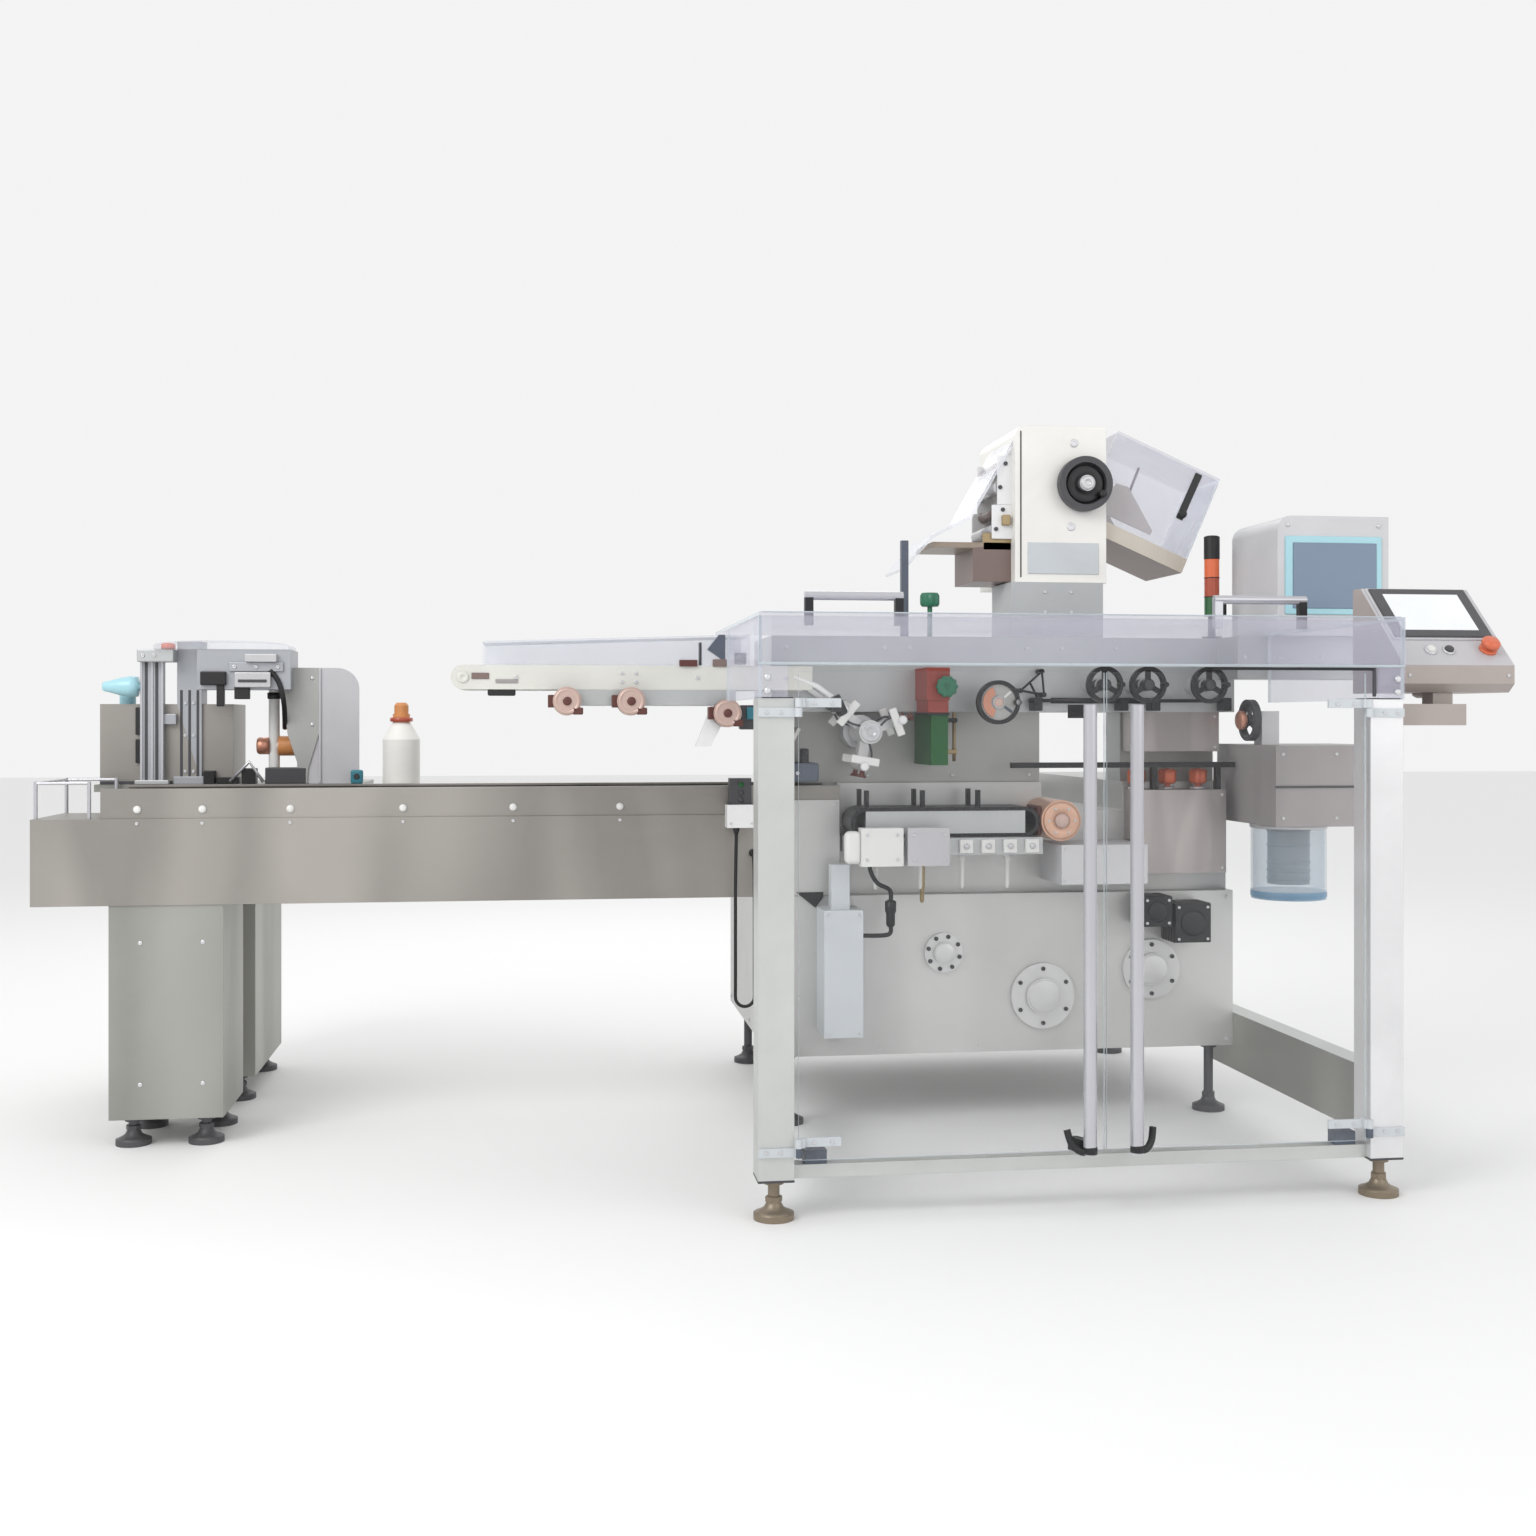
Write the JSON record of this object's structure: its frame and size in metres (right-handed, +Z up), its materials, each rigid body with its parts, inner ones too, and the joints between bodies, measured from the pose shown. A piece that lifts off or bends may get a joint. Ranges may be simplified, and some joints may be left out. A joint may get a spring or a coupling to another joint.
{
  "type": "automatic cartoner",
  "caption": "Automatic cartoner with a flighted infeed line, overhead blank magazine, rotary carton feeder, clear guard with hinged doors, operator console and leaflet folder.",
  "frame": {"origin": "on the floor, in the middle of the machine's box", "axes": "+X along the line from infeed to discharge, +Y to the back, +Z up"},
  "size_m": [3.578, 1.97, 1.944],
  "materials": {
    "body_steel": "satin",
    "plate_steel": "satin",
    "foot_steel": "satin",
    "skirt_steel": "satin",
    "chain_plastic": "matte",
    "rod_steel": "polished",
    "feeder_aluminium": "anodised",
    "white_paint": "semi-gloss powder coat",
    "rail_plastic": "semi-gloss",
    "belt_rubber": "matte",
    "clear_sheet": "clear polycarbonate",
    "copper_cap": "satin",
    "bush_steel": "turned",
    "rotor_aluminium": "anodised",
    "gate_plastic": "matte",
    "white_plastic": "matte",
    "black_plastic": "satin",
    "cover_steel": "satin",
    "orange_plastic": "semi-gloss",
    "blue_clear": "clear tinted plastic",
    "post_aluminium": "satin anodised",
    "console_paint": "semi-gloss",
    "tray_paint": "satin",
    "cord_rubber": "matte"
  },
  "bodies": {
    "machine": {"base_cabinet": "body_steel", "upper_body": "body_steel", "upper_frame": "plate_steel", "levelling_feet": "foot_steel", "infeed_skirt": "skirt_steel", "infeed_rails": "skirt_steel", "infeed_chain": "chain_plastic", "end_rail": "rod_steel", "pedestals": "skirt_steel", "feeder_stand": "skirt_steel", "feeder_frame": "feeder_aluminium", "feeder_shield": "white_paint", "call_post": "white_paint", "magazine_rails": "rail_plastic", "magazine_frame": "plate_steel", "magazine_arm": "plate_steel", "magazine_belt": "belt_rubber", "magazine_hood": "clear_sheet", "magazine_motors": "copper_cap", "spindle_bushes": "bush_steel", "blank_gate": "gate_plastic", "transport_bed": "plate_steel", "transport_chain": "chain_plastic", "guide_blocks": "white_plastic", "guide_rail": "black_plastic", "front_covers": "cover_steel", "knobs": "orange_plastic", "drive_motors": "black_plastic", "bearing_covers": "bush_steel", "side_block": "bush_steel", "discharge_box": "cover_steel", "bowl": "blue_clear", "guard_posts": "post_aluminium", "guard_base": "post_aluminium", "canopy_top": "clear_sheet", "canopy_ends": "clear_sheet", "canopy_handles": "rod_steel", "guard_fittings": "white_paint", "console": "console_paint", "control_box": "white_paint", "tower_light": "orange_plastic", "folder_head": "white_paint", "folder_tray": "tray_paint", "folder_cover": "clear_sheet", "delivery_guard": "clear_sheet", "delivery_unit": "tray_paint", "pendant": "black_plastic", "pendant_cord": "cord_rubber"},
    "rotor": {"carton_rotor": "rotor_aluminium"},
    "handwheel_left": {"wheel_left": "black_plastic"},
    "handwheel_mid": {"wheel_mid": "black_plastic"},
    "handwheel_right": {"wheel_right": "black_plastic"},
    "handwheel_ring": {"wheel_ring": "black_plastic"},
    "handwheel_side": {"wheel_side": "black_plastic"},
    "folder_handwheel": {"folder_wheel": "black_plastic"},
    "door_left": {"left_door": "clear_sheet", "left_handle": "rod_steel"},
    "door_right": {"right_door": "clear_sheet", "right_handle": "rod_steel"}
  },
  "joints": [
    {"name": "rotor_turn", "type": "hinge", "parent": "machine", "child": "rotor", "pos_m": [0.362, -0.1, 1.071], "axis": [0, -1, 0], "continuous": true},
    {"name": "wheel_left_turn", "type": "hinge", "parent": "machine", "child": "handwheel_left", "pos_m": [1.011, -0.1, 1.198], "axis": [0, 1, 0], "continuous": true},
    {"name": "wheel_mid_turn", "type": "hinge", "parent": "machine", "child": "handwheel_mid", "pos_m": [1.133, -0.1, 1.198], "axis": [0, 1, 0], "continuous": true},
    {"name": "wheel_right_turn", "type": "hinge", "parent": "machine", "child": "handwheel_right", "pos_m": [1.307, -0.1, 1.198], "axis": [0, 1, 0], "continuous": true},
    {"name": "wheel_ring_turn", "type": "hinge", "parent": "machine", "child": "handwheel_ring", "pos_m": [0.715, -0.1, 1.15], "axis": [0, 1, 0], "continuous": true},
    {"name": "wheel_side_turn", "type": "hinge", "parent": "machine", "child": "handwheel_side", "pos_m": [1.46, -0.15, 1.102], "axis": [1, 0, 0], "continuous": true},
    {"name": "folder_wheel_turn", "type": "hinge", "parent": "machine", "child": "folder_handwheel", "pos_m": [1.041, 0.1, 1.776], "axis": [0, 1, 0], "continuous": true},
    {"name": "door_left_hinge", "type": "hinge", "parent": "machine", "child": "door_left", "pos_m": [0.057, -0.931, 0.6], "axis": [0, 0, -1], "range_deg": [0, 100]},
    {"name": "door_right_hinge", "type": "hinge", "parent": "machine", "child": "door_right", "pos_m": [1.382, -0.931, 0.6], "axis": [0, 0, 1], "range_deg": [0, 100]}
  ]
}
